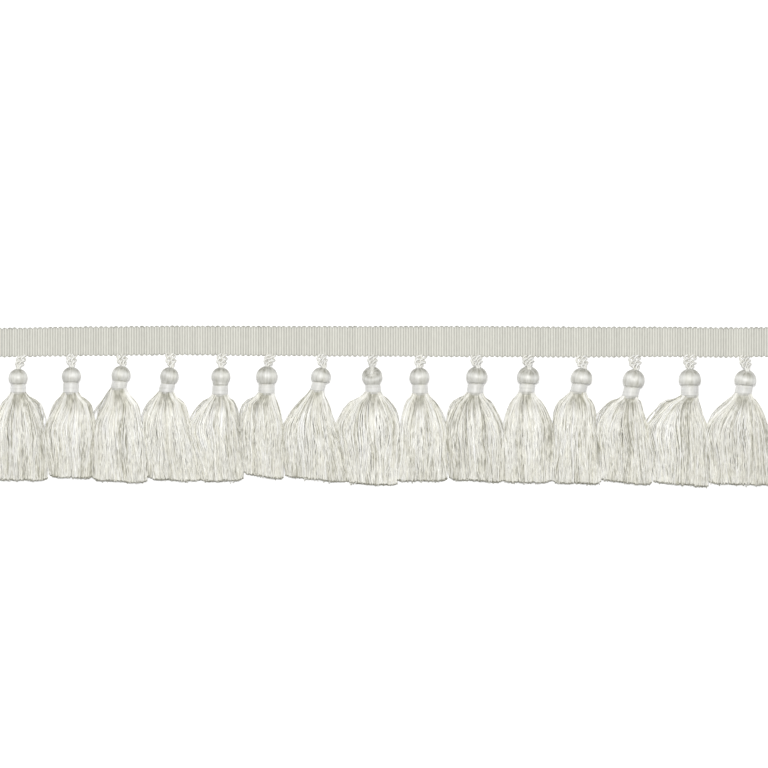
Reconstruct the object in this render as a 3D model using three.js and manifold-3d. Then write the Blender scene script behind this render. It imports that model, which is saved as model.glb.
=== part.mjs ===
// A length of tassel fringe trim, lying face up on a level surface.
//
// A ribbed tape with scalloped edges carries a row of tassels an inch apart. Each tassel hangs
// from the tape on a short loop of two-ply cord. Its yarn covers a round head, is bound at the
// neck by a wound thread, and spreads into a skirt of loose locks that rest on the surface.
//
// Millimetres. +X runs along the tape, +Y from the cut ends of the skirts to the tape, +Z up
// from the surface. While the trim is built, x is 0 at the middle of the tape, y is 0 at the
// tape's lower edge and z is 0 on the surface. The finished group is moved so that its origin
// lies on the surface under the middle of the whole trim.

import * as THREE from "three";
import { mergeVertices } from "three/addons/utils/BufferGeometryUtils.js";
import Module from "manifold-3d";

const wasm = await Module();
wasm.setup();

const CLEARANCE = 0.3;
const SMALLEST_EDGE = 0.05;

// The tape: one raised rib and one scallop of each edge for every two picks of its weft.
const TAPE = {
  length: 383,
  width: 14.2,
  thickness: 1.2,
  ribDepth: 0.4,
  scallops: 154,
  scallopDepth: 0.5,
};

// How far the tape, which isn't laid quite straight, rises above y = 0 along its length.
const TAPE_WAVE = [
  { x: -192, rise: -0.25 },
  { x: -140, rise: 0.25 },
  { x: -98, rise: 0.5 },
  { x: -60, rise: 0.25 },
  { x: -15, rise: 0.05 },
  { x: 45, rise: -0.25 },
  { x: 98, rise: -0.55 },
  { x: 140, rise: -0.2 },
  { x: 168, rise: -0.6 },
  { x: 192, rise: -0.35 },
];

// The round head of a tassel. Its rings lie on a ball, at shares of its radius from its middle
// along the tassel towards the skirt. A last ring lies just above the neck, where the ball
// turns in under itself.
const HEAD_SIDES = 10;
const HEAD_RINGS = [-0.86, -0.7, -0.42, -0.12, 0.18];
const UNDERSIDE = 0.75;

// The thread wound round the neck, as a thin sleeve.
const BINDING = { thickness: 0.35, edge: 0.25 };

// The cord of a hanging loop: two plies side by side, turning about each other.
const CORD = { width: 2, thickness: 1.3, drawnIn: 0.75, stepLength: 0.9, turnPerStep: Math.PI / 3 };
const LOOP = {
  height: 1.15,
  lead: 1.6,
  firstTurn: 0.35,
  spacingAtThroat: 2,
  legEnd: 0.7,
  throatRadius: 1.9,
  throatLength: 1.2,
};

// Levels of the skirt below the tape's edge. Its dense shoulder is one piece with the head,
// and its locks part from each other below that.
const SHOULDER = { y: -21.4, low: 0.3, high: 8.4, squareness: 3, bevel: 0.4 };
const NECK_TO_SHOULDER = { share: 0.45, spread: 0.6 };
const ROOT = { y: -20.9, inset: 0.93, low: 0.8, high: 8 };
const BELLY = { y: -33, high: 8.3 };
const HEM = { high: 5.4, unevenness: 0.7 };

// Each layer of locks from the surface upwards: how many it has, how much of the skirt's
// width it takes, and how wide a lock's top is beside its base. 0 gives a three-sided lock.
const LOCK_LAYERS = [
  { count: 7, width: 1, crest: 0.7 },
  { count: 5, width: 0.86, crest: 0 },
  { count: 4, width: 0.64, crest: 0 },
];

// One row for each tassel, from left to right.
//   at, down, head   the middle of its head, and the head's radius
//   lean             degrees by which its neck swings, positive towards +X
//   cordAt, spread   where the middle of its loop meets the tape, and how far apart the legs are
//   collar           the binding's start and end from the head's middle, and its radius
//   shoulder, belly, hem   left and right reach of the skirt from the head's middle
//   ends             how far below the tape's edge the left and right of its hem are
const TASSELS = [
  {
    at: -178.2, down: 10.4, head: 4.6, lean: 0.5, cordAt: -176.8, spread: 2.6,
    collar: { start: 2.7, end: 6.9, radius: 3.65 }, shoulder: [7, 8.1],
    belly: [12.9, 11.9], hem: [13.1, 14.4], ends: [59.8, 60.2],
  },
  {
    at: -152.2, down: 9.5, head: 4.6, lean: -2.5, cordAt: -152.4, spread: 3,
    collar: { start: 2.7, end: 7.6, radius: 3.8 }, shoulder: [6.5, 8],
    belly: [12.5, 11], hem: [10.7, 9.5], ends: [58.2, 59.2],
  },
  {
    at: -127.9, down: 9, head: 4.6, lean: -12, cordAt: -128, spread: 3.2,
    collar: { start: 2.6, end: 6.6, radius: 3.75 }, shoulder: [8.4, 6.9],
    belly: [12.7, 9.8], hem: [14.1, 12.5], ends: [60, 61.4],
  },
  {
    at: -104.3, down: 9.6, head: 4.5, lean: -13, cordAt: -104.1, spread: 3.1,
    collar: { start: 3.5, end: 7.9, radius: 3.6 }, shoulder: [9.2, 6.1],
    belly: [13, 9.9], hem: [10.2, 16], ends: [59.4, 60.6],
  },
  {
    at: -79.2, down: 9.7, head: 4.6, lean: -3, cordAt: -78.7, spread: 3.2,
    collar: { start: 3.4, end: 8.5, radius: 3.85 }, shoulder: [7.9, 6.2],
    belly: [14.5, 8.9], hem: [8.4, 10.7], ends: [60.8, 60],
  },
  {
    at: -56.7, down: 9.7, head: 5.2, lean: -1.5, cordAt: -54.8, spread: 3.3,
    collar: { start: 2.9, end: 7.8, radius: 3.95 }, shoulder: [9.9, 4.6],
    belly: [13, 7.8], hem: [11.1, 8], ends: [57, 59.6],
  },
  {
    at: -30.3, down: 9.9, head: 4.8, lean: -17, cordAt: -30.2, spread: 3,
    collar: { start: 2.5, end: 6.9, radius: 3.4 }, shoulder: [10.1, 2.9],
    belly: [17.9, 6.4], hem: [17.5, 11.8], ends: [58.2, 61.4],
  },
  {
    at: -5.3, down: 9.7, head: 5, lean: 4.5, cordAt: -5, spread: 3,
    collar: { start: 3.4, end: 7.6, radius: 3.75 }, shoulder: [9.8, 8.4],
    belly: [17.5, 13.2], hem: [12.2, 11.5], ends: [61.4, 62.6],
  },
  {
    at: 17.8, down: 10.1, head: 4.9, lean: 3, cordAt: 18.7, spread: 3.6,
    collar: { start: 2.9, end: 7.2, radius: 3.8 }, shoulder: [6, 7.4],
    belly: [8.8, 12.4], hem: [10.6, 13.6], ends: [60.6, 60.2],
  },
  {
    at: 45.8, down: 9.9, head: 5.2, lean: -7, cordAt: 45.5, spread: 3.6,
    collar: { start: 3.1, end: 7.5, radius: 3.95 }, shoulder: [10, 6.3],
    belly: [14.8, 12.8], hem: [13.3, 13.3], ends: [59.6, 61.2],
  },
  {
    at: 70.9, down: 10, head: 5.4, lean: -6.5, cordAt: 70.9, spread: 3.6,
    collar: { start: 2.9, end: 7.3, radius: 3.8 }, shoulder: [8, 6.2],
    belly: [11.7, 11.6], hem: [11, 11.5], ends: [61, 61.2],
  },
  {
    at: 96.9, down: 10.6, head: 5.2, lean: -15, cordAt: 96.8, spread: 3.7,
    collar: { start: 2.4, end: 6.7, radius: 3.85 }, shoulder: [10.4, 5],
    belly: [13.3, 7.1], hem: [13.4, 9.2], ends: [61.4, 62],
  },
  {
    at: 122.4, down: 11.4, head: 5.3, lean: -13, cordAt: 123, spread: 4,
    collar: { start: 3, end: 8, radius: 3.9 }, shoulder: [10, 2.9],
    belly: [17.6, 6.2], hem: [15.7, 8.9], ends: [60.2, 62.4],
  },
  {
    at: 149.8, down: 11.2, head: 5.4, lean: 0, cordAt: 150.3, spread: 4.4,
    collar: { start: 2.7, end: 7.3, radius: 4.25 }, shoulder: [10, 4.1],
    belly: [20, 7.8], hem: [17.4, 9.3], ends: [61.2, 63.4],
  },
  {
    at: 176.9, down: 11.5, head: 5.3, lean: -9, cordAt: 176.9, spread: 3.5,
    collar: { start: 2.3, end: 6.5, radius: 4.05 }, shoulder: [8.3, 5.3],
    belly: [18.2, 10.9], hem: [16.9, 14.4], ends: [61.8, 62.4],
  },
];

const COLOURS = { tape: 0xd3d2c8, cord: 0xdfded6, head: 0xdbdad2, binding: 0xe3e2dc };

function finish(colour, roughness) {
  return new THREE.MeshStandardMaterial({ color: colour, roughness, metalness: 0 });
}

// A fixed number from -1 to 1 for each pair of whole numbers, so that no two locks match.
function uneven(row, column) {
  const wave = Math.sin(row * 12.9898 + column * 78.233) * 43758.5453;
  return 2 * (wave - Math.floor(wave)) - 1;
}

// The tape's rise at x, eased from each row of its table to the next.
function tapeRise(x) {
  const next = TAPE_WAVE.findIndex((row) => row.x >= x);
  const [a, b] = [TAPE_WAVE[next - 1], TAPE_WAVE[next]];
  return THREE.MathUtils.lerp(a.rise, b.rise, THREE.MathUtils.smoothstep(x, a.x, b.x));
}

// A head rests on one of its facets, so its axis is as high as that facet is far from it.
function axisHeight(row) {
  return row.head * Math.cos(Math.PI / HEAD_SIDES);
}

// A closed skin over sections of equally many points, each running counter-clockwise as seen
// from the far end, with a flat cap on the first and the last.
function loft(sections) {
  const sides = sections[0].length;
  const faces = [];
  for (let k = 0; k + 1 < sections.length; k++) {
    for (let i = 0; i < sides; i++) {
      const j = (i + 1) % sides;
      const [a, b, c, d] = [k * sides + i, k * sides + j, (k + 1) * sides + j, (k + 1) * sides + i];
      faces.push(a, b, c, a, c, d);
    }
  }
  const last = (sections.length - 1) * sides;
  for (let i = 1; i + 1 < sides; i++) faces.push(0, i + 1, i, last, last + i, last + i + 1);
  const skin = new THREE.BufferGeometry().setFromPoints(sections.flat());
  skin.setIndex(faces);
  return skin;
}

function solidOf(geometry) {
  const bare = new THREE.BufferGeometry();
  bare.setAttribute("position", geometry.getAttribute("position"));
  bare.setIndex(geometry.index);
  const merged = mergeVertices(bare, 1e-4);
  const vertProperties = new Float32Array(merged.attributes.position.array);
  const triVerts = new Uint32Array(merged.index.array);
  return new wasm.Manifold(new wasm.Mesh({ numProp: 3, vertProperties, triVerts }));
}

// Several overlapping skins joined into the skin of one solid.
function fuse(geometries) {
  const joined = geometries.map(solidOf).reduce((whole, next) => whole.add(next));
  const mesh = joined.simplify(SMALLEST_EDGE).getMesh();
  const skin = new THREE.BufferGeometry();
  skin.setAttribute("position", new THREE.Float32BufferAttribute(mesh.vertProperties, 3));
  skin.setIndex([...mesh.triVerts]);
  return skin;
}

function named(name, geometry, material) {
  geometry.computeVertexNormals();
  const mesh = new THREE.Mesh(geometry, material);
  mesh.name = name;
  return mesh;
}

// The tape: a flat-backed section that swells at each rib and draws in at each groove.
function tape() {
  const stations = 2 * TAPE.scallops;
  const sections = Array.from({ length: stations + 1 }, (_, i) => {
    const x = (i / stations - 0.5) * TAPE.length;
    const isRib = i % 2 === 1;
    const top = TAPE.thickness - (isRib ? 0 : TAPE.ribDepth);
    const drawnIn = isRib ? 0 : TAPE.scallopDepth;
    const low = tapeRise(x) + drawnIn;
    const high = tapeRise(x) + TAPE.width - drawnIn;
    return [
      new THREE.Vector3(x, high, 0),
      new THREE.Vector3(x, high, top),
      new THREE.Vector3(x, low, top),
      new THREE.Vector3(x, low, 0),
    ];
  });
  return named("tape", loft(sections), finish(COLOURS.tape, 0.75));
}

// One leg of a loop: the cord's oblong section, turned a little further at each step and
// drawn in towards the throat.
function cordLeg(path, firstTurn) {
  const steps = Math.round(path.getLength() / CORD.stepLength);
  const sections = Array.from({ length: steps + 1 }, (_, i) => {
    const middle = path.getPointAt(i / steps);
    const forward = path.getTangentAt(i / steps);
    const across = new THREE.Vector3(1, 0, 0).addScaledVector(forward, -forward.x).normalize();
    const up = new THREE.Vector3().crossVectors(forward, across);
    return Array.from({ length: 4 }, (_, corner) => {
      const turn = firstTurn + i * CORD.turnPerStep;
      const scale = THREE.MathUtils.lerp(1, CORD.drawnIn, i / steps) / 2;
      const a = Math.cos((corner * Math.PI) / 2) * CORD.width * scale;
      const b = Math.sin((corner * Math.PI) / 2) * CORD.thickness * scale;
      return middle
        .clone()
        .addScaledVector(across, a * Math.cos(turn) - b * Math.sin(turn))
        .addScaledVector(up, a * Math.sin(turn) + b * Math.cos(turn));
    });
  });
  return loft(sections);
}

// The throat of a loop: a short round stem that holds its two legs together above the head.
function throat(end, alongHead, acrossHead) {
  const up = new THREE.Vector3(0, 0, LOOP.throatRadius);
  const across = acrossHead.clone().multiplyScalar(LOOP.throatRadius);
  const sections = [-LOOP.throatLength, 0].map((along) =>
    Array.from({ length: 6 }, (_, corner) =>
      end
        .clone()
        .addScaledVector(alongHead, along)
        .addScaledVector(across, Math.cos((corner * Math.PI) / 3))
        .addScaledVector(up, Math.sin((corner * Math.PI) / 3)),
    ),
  );
  return loft(sections);
}

// The loop between the tape's lower edge and the top of a head. Its legs draw together on the
// way, and meet in the throat just above the head.
function hanger(row, name) {
  const lean = THREE.MathUtils.degToRad(row.lean);
  const alongHead = new THREE.Vector3(Math.sin(lean), -Math.cos(lean), 0);
  const acrossHead = new THREE.Vector3(Math.cos(lean), Math.sin(lean), 0);
  const foot = new THREE.Vector3(row.at, -row.down, axisHeight(row))
    .addScaledVector(alongHead, HEAD_RINGS[0] * row.head - CLEARANCE);
  const legs = [-1, 1].map((side) => {
    const x = row.cordAt + (side * row.spread) / 2;
    const start = new THREE.Vector3(x, tapeRise(x) - CLEARANCE, LOOP.height);
    const end = foot
      .clone()
      .addScaledVector(alongHead, -LOOP.legEnd)
      .addScaledVector(acrossHead, (side * LOOP.spacingAtThroat) / 2);
    return cordLeg(
      new THREE.CubicBezierCurve3(
        start,
        start.clone().add(new THREE.Vector3(0, -LOOP.lead, 0)),
        end.clone().addScaledVector(alongHead, -LOOP.lead),
        end,
      ),
      side * LOOP.firstTurn,
    );
  });
  return named(name, fuse([...legs, throat(foot, alongHead, acrossHead)]), finish(COLOURS.cord, 0.5));
}

// A ring of the head or neck, square to the leaning axis. Places are from the point on the
// surface under the head's middle.
function headRing(row, lean, along, radius) {
  return Array.from({ length: HEAD_SIDES }, (_, i) => {
    const turn = (i / HEAD_SIDES) * 2 * Math.PI;
    const across = radius * Math.cos(turn);
    return new THREE.Vector3(
      Math.sin(lean) * along + Math.cos(lean) * across,
      -Math.cos(lean) * along + Math.sin(lean) * across,
      axisHeight(row) + radius * Math.sin(turn),
    );
  });
}

// A ring of the skirt's shoulder, square to +Y, with the rounded-off corners of its yarn.
function shoulderRing(y, left, right, low, high) {
  const power = 2 / SHOULDER.squareness;
  const rounded = (value) => Math.sign(value) * Math.abs(value) ** power;
  return Array.from({ length: HEAD_SIDES }, (_, i) => {
    const turn = (i / HEAD_SIDES) * 2 * Math.PI;
    return new THREE.Vector3(
      (left + right) / 2 + ((right - left) / 2) * rounded(Math.cos(turn)),
      y,
      (low + high) / 2 + ((high - low) / 2) * rounded(Math.sin(turn)),
    );
  });
}

// The radius of the neck inside the wound thread, with a little room between them.
function neckRadius(row) {
  return row.collar.radius - BINDING.thickness - CLEARANCE;
}

// The ball's radius at a distance along the tassel from its middle.
function ballRadius(row, along) {
  return Math.sqrt(row.head ** 2 - along ** 2);
}

// The head, neck and shoulder as one body.
function headBody(row, lean) {
  const neck = neckRadius(row);
  const neckX = Math.sin(lean) * row.collar.end;
  const neckY = -Math.cos(lean) * row.collar.end;
  const shoulderY = row.down + SHOULDER.y;
  const [left, right] = [-row.shoulder[0], row.shoulder[1]];
  const part = NECK_TO_SHOULDER;
  const between = THREE.MathUtils.lerp;
  const balls = [...HEAD_RINGS.map((share) => share * row.head), row.collar.start - UNDERSIDE];
  return loft([
    ...balls.map((along) => headRing(row, lean, along, ballRadius(row, along))),
    headRing(row, lean, row.collar.start - CLEARANCE, neck),
    headRing(row, lean, row.collar.end, neck),
    shoulderRing(
      between(neckY, shoulderY, part.share),
      between(neckX - neck, left, part.spread),
      between(neckX + neck, right, part.spread),
      between(axisHeight(row) - neck, SHOULDER.low, part.spread),
      between(axisHeight(row) + neck, SHOULDER.high, part.spread),
    ),
    shoulderRing(shoulderY, left, right, SHOULDER.low, SHOULDER.high),
    shoulderRing(
      shoulderY - SHOULDER.bevel,
      left + SHOULDER.bevel,
      right - SHOULDER.bevel,
      SHOULDER.low + SHOULDER.bevel,
      SHOULDER.high - SHOULDER.bevel,
    ),
  ]);
}

// The skirt's reach and height at each level, from the root inside the shoulder to the hem.
// A level's y is given for its left and its right end.
function skirtLevels(row) {
  const middle = (row.shoulder[1] - row.shoulder[0]) / 2;
  const halfRoot = ((row.shoulder[0] + row.shoulder[1]) / 2) * ROOT.inset;
  const level = (y, left, right, low, high) => ({
    y: y.map((end) => end + row.down),
    left,
    right,
    low,
    high,
  });
  return [
    level([ROOT.y, ROOT.y], middle - halfRoot, middle + halfRoot, ROOT.low, ROOT.high),
    level([BELLY.y, BELLY.y], -row.belly[0], row.belly[1], 0, BELLY.high),
    level(row.ends.map((end) => -end), -row.hem[0], row.hem[1], 0, HEM.high),
  ];
}

// The locks of one skirt, in layers, each a tapered strand of three or four sides that keeps
// clear of its neighbours below the shoulder.
function locks(row, number) {
  const levels = skirtLevels(row);
  const hem = levels.length - 1;
  return LOCK_LAYERS.flatMap((layer, layerIndex) =>
    Array.from({ length: layer.count }, (_, i) => {
      const sections = levels.map((level, station) => {
        const half = ((level.right - level.left) / 2) * layer.width;
        const lockWidth = (2 * half + CLEARANCE) / layer.count;
        const left = (level.left + level.right) / 2 - half + i * lockWidth;
        const right = left + lockWidth - CLEARANCE;
        const lockHeight = (level.high - level.low + CLEARANCE) / LOCK_LAYERS.length;
        const low = level.low + layerIndex * lockHeight;
        const high = low + lockHeight - CLEARANCE;
        const cut = station === hem ? HEM.unevenness * uneven(number * 3 + layerIndex, i) : 0;
        const y = THREE.MathUtils.lerp(level.y[0], level.y[1], (i + 0.5) / layer.count) + cut;
        const ridge = (left + right) / 2;
        const crest = ((right - left) / 2) * layer.crest;
        const top = [new THREE.Vector3(ridge + crest, y, high)];
        if (layer.crest) top.push(new THREE.Vector3(ridge - crest, y, high));
        return [new THREE.Vector3(left, y, low), new THREE.Vector3(right, y, low), ...top];
      });
      return loft(sections);
    }),
  );
}

function tassel(row, number, name) {
  const lean = THREE.MathUtils.degToRad(row.lean);
  return named(name, fuse([headBody(row, lean), ...locks(row, number)]), finish(COLOURS.head, 0.45));
}

// The thin sleeve of wound thread, with softened ends.
function binding(row, name) {
  const { start, end, radius } = row.collar;
  const inside = radius - BINDING.thickness;
  const profile = [
    [inside, end],
    [radius, end - BINDING.edge],
    [radius, start + BINDING.edge],
    [inside, start],
    [inside, end],
  ].map(([across, along]) => new THREE.Vector2(across, -along));
  const ring = new THREE.LatheGeometry(profile, HEAD_SIDES, Math.PI / HEAD_SIDES);
  const mesh = named(name, ring, finish(COLOURS.binding, 0.4));
  mesh.position.z = axisHeight(row);
  mesh.rotation.z = THREE.MathUtils.degToRad(row.lean);
  return mesh;
}

const trim = new THREE.Group();
trim.add(tape());
TASSELS.forEach((row, index) => {
  const number = String(index + 1).padStart(2, "0");
  const hung = new THREE.Group();
  hung.position.set(row.at, -row.down, 0);
  hung.add(tassel(row, index, `tassel_${number}`), binding(row, `binding_${number}`));
  trim.add(hanger(row, `hanger_${number}`), hung);
});

// The origin, on the surface under the middle of the whole trim.
const extent = new THREE.Box3().setFromObject(trim);
const middle = extent.getCenter(new THREE.Vector3());
trim.position.set(-middle.x, -middle.y, -extent.min.z);

export default trim;
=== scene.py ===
"""The looks of a length of tassel fringe trim, laid out as a Blender add-on.

A ribbed tape with scalloped edges carries a row of tassels on short loops of twisted cord. Each
tassel has a round head covered in yarn, a neck bound with fine thread, and a skirt of several
hundred loose threads.

Sizes are in millimetres while a shape is worked out, in the trim's own layout: x along the tape
from its middle, y from the tape's lower edge upwards, z up from the surface. A finished piece is
moved into the frame of the solids and made metres. A shade holds the yarn's own tone together with
painted light and shade: it is about 0 where yarn is darkest and 1 where it is lightest, and below
0 where painted shade stands for yarn hidden from the light.
"""

import math

import bpy
import numpy as np
from bpy.props import FloatProperty, FloatVectorProperty, IntProperty, PointerProperty
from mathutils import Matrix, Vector


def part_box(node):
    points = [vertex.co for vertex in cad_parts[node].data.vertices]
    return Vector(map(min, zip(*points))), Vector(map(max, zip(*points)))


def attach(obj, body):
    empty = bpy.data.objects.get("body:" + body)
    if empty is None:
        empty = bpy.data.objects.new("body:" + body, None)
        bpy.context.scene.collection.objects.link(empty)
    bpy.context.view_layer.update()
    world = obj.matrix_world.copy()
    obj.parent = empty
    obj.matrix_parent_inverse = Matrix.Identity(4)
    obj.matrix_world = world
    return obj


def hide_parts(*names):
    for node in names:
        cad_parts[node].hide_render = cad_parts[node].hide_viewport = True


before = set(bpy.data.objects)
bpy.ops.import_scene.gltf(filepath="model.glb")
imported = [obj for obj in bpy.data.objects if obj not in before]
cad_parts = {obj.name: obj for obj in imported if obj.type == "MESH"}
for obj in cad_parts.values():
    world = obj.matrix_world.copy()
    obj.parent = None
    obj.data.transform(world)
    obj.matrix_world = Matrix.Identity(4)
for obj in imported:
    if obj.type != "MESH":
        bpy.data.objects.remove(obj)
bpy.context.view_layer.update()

bl_info = {
    "name": "Tassel fringe trim",
    "version": (1, 0, 0),
    "blender": (4, 5, 0),
    "location": "View3D > Sidebar > Trim",
    "description": "Builds a ribbed tape with a row of tassels, and a table to lay it on",
    "category": "Add Mesh",
}

MM = 0.001
TINY = 1e-12
UP = np.array([0.0, 0.0, 1.0])
BODY = "root"

TAPE_FIELDS = (
    "at",  # a place along the tape
    "rise",  # how far the tape's lower edge is above y = 0
    "extra",  # how much wider the tape is than its least width
)

TAPE_ROWS = (
    (-192.0, -0.2, 0.1),
    (-140.0, 0.5, 0.05),
    (-98.0, 0.85, 0.13),
    (-60.0, 0.45, 0.33),
    (-15.0, 0.2, 0.58),
    (45.0, -0.05, 0.85),
    (98.0, -0.28, 0.75),
    (140.0, -0.05, 0.5),
    (168.0, -0.3, 0.4),
    (192.0, 0.0, 0.25),
)

TAPE = dict(zip(TAPE_FIELDS, np.array(TAPE_ROWS).T))

# The solid tape's lowest edge is this far below y = 0.
LOWEST_EDGE = 0.6
EDGE_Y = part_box("tape")[0].y / MM + LOWEST_EDGE

TASSEL_FIELDS = (
    "at",  # the head's middle, along the tape and below its edge
    "down",
    "head",  # the head's radius
    "lean",  # degrees by which the neck swings, positive towards +X
    "nod",  # degrees by which the head's top turns up
    "cord_at",  # where the middle of the loop meets the tape
    "spread",  # how far apart the loop's legs are there
    "collar_start",  # the binding, from the head's middle
    "collar_end",
    "collar",  # the binding's radius
    "shoulder_left",  # reach of the skirt from the head's middle, at three levels
    "shoulder_right",
    "belly_left",
    "belly_right",
    "hem_left",
    "hem_right",
    "end_left",  # how far the hem's left and right ends are below the tape
    "end_right",
    "bow_left",  # how far the loosest threads bow out past the skirt's sides
    "bow_right",
)

TASSEL_ROWS = (
    (-178.2, 10.4, 4.6, 0.5, 0, -176.8, 2.6, 3.2, 7.1, 3.65,
     7, 8.1, 12.9, 11.9, 13.1, 14.4, 59.8, 60.2, 0.4, 2.6),
    (-152.2, 9.5, 4.6, -2.5, 0, -152.4, 3, 3.2, 8.1, 3.8,
     6.5, 8, 12.5, 11, 10.7, 9.5, 58.2, 59.2, 1.6, 0.8),
    (-127.9, 9, 4.6, -12, 0, -128, 3.2, 3.1, 6.6, 3.75,
     8.4, 6.9, 12.7, 9.8, 14.1, 12.5, 60, 61.4, 3, 0.3),
    (-104.3, 9.6, 4.5, -13, 0, -104.1, 3.1, 3.8, 7.9, 3.6,
     9.2, 6.1, 13, 9.9, 10.2, 16, 59.4, 60.6, 1.4, 0.3),
    (-79.2, 9.7, 4.6, -3, 0, -78.7, 3.2, 4.5, 8.9, 3.85,
     7.9, 6.2, 14.5, 8.9, 8.4, 10.7, 60.8, 60, 1.6, 0.8),
    (-56.7, 9.7, 5.2, -1.5, 0, -54.8, 3.3, 3.8, 8.1, 3.95,
     9.9, 4.6, 13, 7.8, 11.1, 8, 57, 59.6, 1.2, 0.4),
    (-30.3, 9.9, 4.8, -17, 0, -30.2, 3, 2.8, 6.9, 3.4,
     10.1, 2.9, 17.9, 6.4, 17.5, 11.8, 58.2, 61.4, 0.9, 0.3),
    (-5.3, 9.7, 5, 4.5, 72, -5, 3, 4.1, 7.6, 3.75,
     9.8, 8.4, 17.5, 13.2, 12.2, 11.5, 61.4, 62.6, 0.8, 1),
    (17.8, 10.1, 4.9, 3, 0, 18.7, 3.6, 3.7, 7.8, 3.8,
     6, 7.4, 8.8, 12.4, 10.6, 13.6, 60.6, 60.2, 0.4, 1),
    (45.8, 9.9, 5.2, -7, 25, 45.5, 3.6, 3.4, 8, 3.95,
     10, 6.3, 14.8, 12.8, 13.3, 13.3, 59.6, 61.2, 2, 0.4),
    (70.9, 10, 5.4, -6.5, 40, 70.9, 3.6, 3.3, 7.5, 3.8,
     8, 6.2, 11.7, 11.6, 11, 11.5, 61, 61.2, 0.5, 0.6),
    (96.9, 10.6, 5.2, -15, 0, 96.8, 3.7, 2.9, 6.9, 3.85,
     10.4, 5, 13.3, 7.1, 13.4, 9.2, 61.4, 62, 1, 0.3),
    (122.4, 11.4, 5.3, -13, 0, 123, 4, 3.7, 8.3, 3.9,
     10, 2.9, 17.6, 6.2, 15.7, 8.9, 60.2, 62.4, 2.6, 0.4),
    (149.8, 11.2, 5.4, 0, 0, 150.3, 4.4, 3, 7.8, 4.25,
     10, 4.1, 20, 7.8, 17.4, 9.3, 61.2, 63.4, 2.8, 0.4),
    (176.9, 11.5, 5.3, -9, 25, 176.9, 3.5, 2.7, 6.5, 4.05,
     8.3, 5.3, 18.2, 10.9, 16.9, 14.4, 61.8, 62.4, 2, 0.4),
)

TASSELS = [dict(zip(TASSEL_FIELDS, row)) for row in TASSEL_ROWS]

# Where the skirts' shoulders and bellies lie in y.
SHOULDER_Y = -21.4
BELLY_Y = -33.0

# How much nearer to the surface a neck lies than the middle of its head.
NECK_SINK = 0.3

# The share of a neck's lean that the turns of its binding keep.
BINDING_TILT = 0.3

# A head lies on the small flat that a ball of this many facets has.
FACETS = 10

# How far from its head's middle a loop enters, as a share of the head's radius.
POLE = 0.92


def smooth(t):
    """0 to 1 with a soft start and end: 3 t squared less 2 t cubed."""
    t = np.clip(t, 0, 1)
    return t * t * (3 - 2 * t)


def wander(t, seed, waves=3):
    """A gentle wave of t in roughly -1 to 1: a mean of sines with seeded rates and phases."""
    rng = np.random.default_rng(seed)
    rates = rng.uniform(0.6, 2.4, waves) * np.arange(1, waves + 1)
    phases = rng.uniform(0, 2 * math.pi, waves)
    t = np.asarray(t, float)[..., None]
    return (np.sin(2 * math.pi * rates * t + phases) / np.arange(1, waves + 1)).mean(-1)


def along_tape(x, field):
    """A column of the tape's table at x, eased from each of its rows to the next."""
    places, values = TAPE["at"], TAPE[field]
    k = np.clip(np.searchsorted(places, x) - 1, 0, len(places) - 2)
    eased = smooth((x - places[k]) / (places[k + 1] - places[k]))
    return values[k] + (values[k + 1] - values[k]) * eased


def tape_rise(x):
    """How far the tape's lower edge rises above y = 0 at x."""
    return along_tape(x, "rise")


def tape_width(x, least):
    """The tape's width at x, from its least width."""
    return least + along_tape(x, "extra")


# Meshes


def new_mesh(name, points, loops, sizes, shades=None):
    """A mesh object from points in millimetres, the corners of its faces in one row, and each
    face's number of corners. Shades are kept as one value for each point."""
    placed = (points + (0.0, EDGE_Y, 0.0)) * MM
    mesh = bpy.data.meshes.new(name)
    mesh.vertices.add(len(placed))
    mesh.vertices.foreach_set("co", placed.astype(np.float32).ravel())
    mesh.loops.add(len(loops))
    mesh.loops.foreach_set("vertex_index", np.asarray(loops, np.int32))
    mesh.polygons.add(len(sizes))
    starts = np.concatenate([[0], np.cumsum(sizes)[:-1]]).astype(np.int32)
    mesh.polygons.foreach_set("loop_start", starts)
    mesh.polygons.foreach_set("loop_total", np.asarray(sizes, np.int32))
    mesh.polygons.foreach_set("use_smooth", np.ones(len(sizes), bool))
    mesh.update(calc_edges=True)
    mesh.validate()
    if shades is not None:
        layer = mesh.attributes.new("shade", "FLOAT", "POINT")
        layer.data.foreach_set("value", np.asarray(shades, np.float32).ravel())
    piece = bpy.data.objects.new(name, mesh)
    bpy.context.scene.collection.objects.link(piece)
    return piece


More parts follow.
